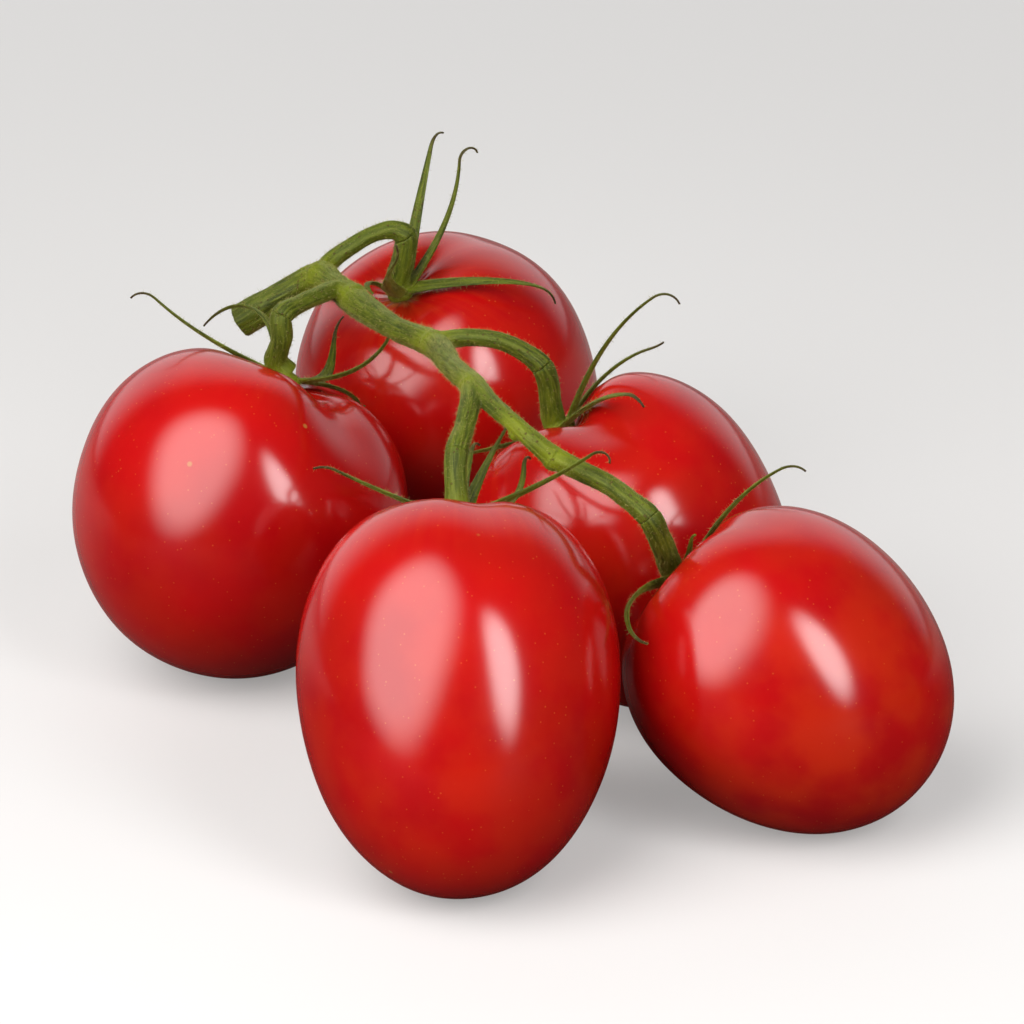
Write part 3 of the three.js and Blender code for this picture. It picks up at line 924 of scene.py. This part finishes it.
# %% The sepals of each fruit
# The turn and rise it sets off at, then how much it lifts, its length, and how much it sways and hooks
SEPALS = {
    1: [(195, 35, -5, 33, 0, -90), (140, 40, 35, 36, 25, -190), (105, 15, -90, 35, 70, -30),
        (45, 50, -5, 31, 75, 50), (340, 75, -95, 12, 110, -40)],
    2: [(132, 5, 23, 33, 3, -105), (80, 51, -117, 34, 10, 0), (7, 5, 86, 28, 98, 33),
        (350, 12, -42, 24, 42, 60), (315, 23, 87, 26, -30, -140)],
    3: [(200, 34, -47, 37, -6, -95), (240, 23, -51, 26, -69, 31), (164, 5, -33, 29, -8, -78),
        (37, 21, -5, 20, 66, -208), (310, 20, -78, 24, 0, -60)],
    4: [(75, 25, 5, 28, 5, -50), (335, 55, 5, 27, -40, -140), (310, 10, 105, 24, 30, -150),
        (265, 20, 15, 30, -5, -150), (0, 40, 20, 28, -20, -80)],
    5: [(93, 21, -83, 31, 7, -106), (230, 12, -45, 31, -15, -64), (290, 18, -79, 26, 0, -60),
        (330, 18, -79, 24, 0, -60), (160, 13, 8, 11, 0, -60)],
}
print("longest sepal:", max(sepal[3] for cap in SEPALS.values() for sepal in cap), "mm")

# %% One sepal
SEPAL_STEPS, SEPAL_SIDES = 60, 16
SEPAL_WIDTH, TIP_WIDTH = 3.9, 0.42
SEPAL_THICKNESS, TIP_THICKNESS = 0.95, 0.36
# How late along its length a sepal bends, and where its hook starts and how late that bends
LATE_BEND, HOOK_START, LATE_HOOK = 1.6, 0.82, 1.3
# How far from the axis, and how far above the dimple, a sepal sets off
SEPAL_FOOT = 2.2
# How far a sepal's edges turn up, and how flat its faces are
CUP, FLATNESS = 0.3, 0.75
# The middle groove and rib, as shares of the half width and of the half thickness
RIB_REACH, GROOVE_DEPTH, RIB_DEPTH = 0.28, 0.35, 0.3
# A sepal shorter than this dries less, and the shortest stay green to their tips.
DRY_LENGTH = 20


def blade_section(half, thick, cup):
    """The outline across a sepal: a lens with its edges turned up, a groove on top and a rib below."""
    around = np.linspace(0, 2 * np.pi, SEPAL_SIDES, endpoint=False)
    across, above = np.cos(around), np.sin(around)
    middle = np.exp(-((across / RIB_REACH) ** 2)) * np.where(above > 0, GROOVE_DEPTH, RIB_DEPTH)
    above = above * (FLATNESS + (1 - FLATNESS) * np.abs(above)) - middle
    return across * half, above * thick + cup * across**2


def sepal_rings(turn, rise, lift, length, sway, hook):
    """Rings of a sepal about the fruit's own axis, from the dimple's middle, and its axis."""
    bearing = math.radians(turn)
    place = SEPAL_FOOT * np.array([math.cos(bearing), math.sin(bearing), 1])
    rings, axis = [], []
    for step in range(SEPAL_STEPS + 1):
        share = step / SEPAL_STEPS
        bend = share**LATE_BEND
        curl = (max(0, share - HOOK_START) / (1 - HOOK_START)) ** LATE_HOOK
        climb = math.radians(rise + lift * bend + hook * curl)
        bearing = math.radians(turn + sway * bend)
        flat = np.array([math.cos(bearing), math.sin(bearing), 0])
        ahead = math.cos(climb) * flat + np.array([0, 0, math.sin(climb)])
        side = np.array([-math.sin(bearing), math.cos(bearing), 0])
        up = np.cross(ahead, side)
        taper = 1 - share
        half = (TIP_WIDTH + (SEPAL_WIDTH - TIP_WIDTH) * taper) / 2
        thick = (TIP_THICKNESS + (SEPAL_THICKNESS - TIP_THICKNESS) * taper) / 2
        across, above = blade_section(half, thick, CUP * taper)
        rings.append(place + across[:, None] * side + above[:, None] * up)
        dryness = share * min(1, length / DRY_LENGTH) ** 2
        axis.append((place, side, up, share * length, dryness, 1.0))
        place = place + ahead * length / SEPAL_STEPS
    return np.array(rings), axis


print("a sepal has", SEPAL_STEPS * SEPAL_SIDES, "quads")

# %% The disc and the foot of the stalk
# The disc's outline: how high above the dimple's middle, and how far from the axis
DISC = ((0.6, 1.8), (0.75, 2.6), (1.3, 3.0), (1.9, 3.1), (2.5, 2.7), (3.1, 1.9), (3.4, 0.9))
DISC_SIDES, DISC_LOBES, LOBE_HEIGHT = 40, 5, 0.05
# The height of the disc's middle, round which the green is yellower
DISC_MIDDLE = 2.0
# Where the stalk ends in the disc, above the dimple's middle, and its thickness there
STALK_FOOT, FOOT_THICKNESS = 2.8, 4.8
# The gap at a knuckle, which shows as a fine ring
KNUCKLE_GAP = 0.02


def disc_rings():
    """The small disc between the sepals, which bulges a little under each of them."""
    around = np.linspace(0, 2 * np.pi, DISC_SIDES, endpoint=False)
    lobes = 1 + LOBE_HEIGHT * np.cos(DISC_LOBES * around)
    rings = []
    for rise, reach in DISC:
        x = reach * lobes * np.cos(around)
        y = reach * lobes * np.sin(around)
        rings.append(np.stack([x, y, rise + 0 * around], axis=-1))
    return np.array(rings)


def moved(points, place):
    """Points in millimetres, from the fruit's own place to the floor's."""
    turned = np.array(place.to_3x3())
    return points @ turned.T + np.array(place.translation) / MM


print("disc:", disc_rings().shape)

# %% Join sepals to a cap
def joined(cap, meshes):
    """Unites a piece with several closed meshes, and keeps their fine edges as they are."""
    blades = bpy.data.collections.new("blades")
    for mesh in meshes:
        blades.objects.link(bpy.data.objects.new("blade", mesh))
    bpy.context.scene.collection.children.link(blades)
    join = cap.modifiers.new("join", "BOOLEAN")
    join.operation = "UNION"
    join.operand_type = "COLLECTION"
    join.collection = blades
    join.solver = "MANIFOLD"
    applied(cap)
    for blade in list(blades.objects):
        bpy.data.objects.remove(blade)
    bpy.data.collections.remove(blades)


print("helper: joined")

# %% Grow the calyxes
caps = {}
for number, sepals in SEPALS.items():
    dimple = fruit_outline(number, np.array(1.0))[1]
    seat = fruit_place(number) @ Matrix.Translation((0, 0, float(dimple) * MM))
    turned = np.array(seat.to_3x3())
    foot = moved(np.array([0, 0, STALK_FOOT]), seat)
    route = STALKS[number] + [(*foot, FOOT_THICKNESS)]
    rings, stalk_axis = stem_rings(route, KNUCKLES[number], len(route) - 1, KNUCKLE_GAP)
    stalk, disc = closed_mesh("stalk", rings), closed_mesh("disc", moved(disc_rings(), seat))
    cap = melted(f"green_cap_{number}", [stalk, disc])
    axis = [sample + (0.0, 0.0) for sample in stalk_axis]
    blades = []
    for sepal in sepals:
        rings, sepal_axis = sepal_rings(*sepal)
        blades.append(closed_mesh("blade", moved(rings, seat)))
        axis += [(moved(at, seat), turned @ side, turned @ up, *rest) for at, side, up, *rest in sepal_axis]
    joined(cap, blades)
    mark_growth(cap, axis, [moved(np.array([0, 0, DISC_MIDDLE]), seat)])
    cap.data.materials.clear()
    cap.data.materials.append(sepal_green)
    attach(cap, "root")
    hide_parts(f"calyx_{number}")
    caps[number] = cap
    print(cap.name, "with", len(sepals), "sepals and", len(cap.data.polygons), "faces")

# %% [markdown]
# ## Fine hairs
#
# A tomato stem is covered with fine pale hairs, which light up along its outlines. Blender can grow hair as
# curves, but many thousand slender spikes of real mesh look the same at this size, and keep their shape
# wherever the model goes. Each is a closed cone with three sides, sunk a little into the stem.

# %% Scatter places on a surface
def scatter(mesh, per_mm2, draw):
    """Places in millimetres, spread evenly over a mesh, and the way straight out of it at each."""
    mesh.calc_loop_triangles()
    triangles = np.zeros(len(mesh.loop_triangles) * 3, int)
    mesh.loop_triangles.foreach_get("vertices", triangles)
    points = np.zeros(len(mesh.vertices) * 3)
    mesh.vertices.foreach_get("co", points)
    a, b, c = (points.reshape(-1, 3)[triangles.reshape(-1, 3)] / MM).transpose(1, 0, 2)
    normal = np.cross(b - a, c - a)
    area = np.linalg.norm(normal, axis=1) / 2
    count = int(area.sum() * per_mm2)
    chosen = draw.choice(len(area), count, p=area / area.sum())
    u, v = draw.random((2, count, 1))
    u, v = np.where(u + v > 1, 1 - u, u), np.where(u + v > 1, 1 - v, v)
    place = a[chosen] + u * (b - a)[chosen] + v * (c - a)[chosen]
    return place, normal[chosen] / (2 * area[chosen, None])


print("helper: scatter")

# %% Hairs as slender spikes
# How thick a hair is at its root, how deep it is sunk, and how far it leans at random
HAIR_THICKNESS, HAIR_SINK, HAIR_LEAN = 0.06, 0.06, 0.35
SHORTEST_HAIR, LONGEST_HAIR = 0.25, 0.95
# The turns of a hair's three corners at its root, in radians, and its faces: corner 3 is the tip.
HAIR_CORNERS = (0, 2.094, 4.189)
HAIR_FACES = ((0, 1, 3), (1, 2, 3), (2, 0, 3), (2, 1, 0))


def grow_hairs(surface, per_mm2, seed):
    """Covers a piece with hairs that lean at random. Most are short and a few long."""
    draw = np.random.default_rng(seed)
    place, out = scatter(surface.data, per_mm2, draw)
    count = len(place)
    root = place - HAIR_SINK * out
    lean = out + draw.normal(0, HAIR_LEAN, (count, 3))
    lean /= np.linalg.norm(lean, axis=1, keepdims=True)
    side = np.cross(lean, draw.normal(0, 1, (count, 3)))
    side *= HAIR_THICKNESS / 2 / np.linalg.norm(side, axis=1, keepdims=True)
    other = np.cross(lean, side)
    length = SHORTEST_HAIR + (LONGEST_HAIR - SHORTEST_HAIR) * draw.random((count, 1)) ** 2
    corners = [root + side * math.cos(turn) + other * math.sin(turn) for turn in HAIR_CORNERS]
    points = np.stack(corners + [root + lean * (length + HAIR_SINK)], axis=1)
    start = np.arange(count)[:, None] * 4
    faces = np.stack([start + np.array(face) for face in HAIR_FACES], axis=1)
    hair = bpy.data.meshes.new(f"{surface.name}_hairs")
    hair.from_pydata((points.reshape(-1, 3) * MM).tolist(), [], faces.reshape(-1, 3).tolist())
    return add_object(hair.name, hair)


print("hairs are", HAIR_THICKNESS, "mm thick at the root")

# %% The hairs' finish
DULL_HAIR = (0.21, 0.20, 0.04, 1)
LIGHT_HAIR = (0.36, 0.31, 0.09, 1)

down, tree, into = start_material("pale_hair", {"Roughness": 0.5})
place = put(tree, "ShaderNodeTexCoord").outputs["Object"]
tint = place_group(tree, patches, place, Size=0.002)["Mask"]
tree.links.new(mix_colours(tree, tint, DULL_HAIR, LIGHT_HAIR), into["Base Color"])
print("hairs go from", DULL_HAIR[:3], "to", LIGHT_HAIR[:3])

# %% Grow the hairs
# How many hairs stand on a square millimetre
STEM_HAIRS, CAP_HAIRS = 4.0, 2.5
FIRST_SEED = 40

hairy = [(vine, STEM_HAIRS)] + [(cap, CAP_HAIRS) for cap in caps.values()]
for number, (surface, per_mm2) in enumerate(hairy):
    hairs = grow_hairs(surface, per_mm2, FIRST_SEED + number)
    hairs.data.materials.append(down)
    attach(hairs, "root")
    print(hairs.name, len(hairs.data.polygons) // 4, "hairs")

# %% [markdown]
# ## Finish
#
# The dressed truss is meant to keep to the size of the imported model, so both boxes are measured and
# printed, to be compared.

# %% Measure and finish
boxes = {
    "cad": [list(map(float, corner)) for corner in cad_box],
    "visual": [list(map(float, corner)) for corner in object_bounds()],
}
for name, corners in boxes.items():
    print(name, "box in mm:", [[round(1000 * value, 1) for value in corner] for corner in corners])
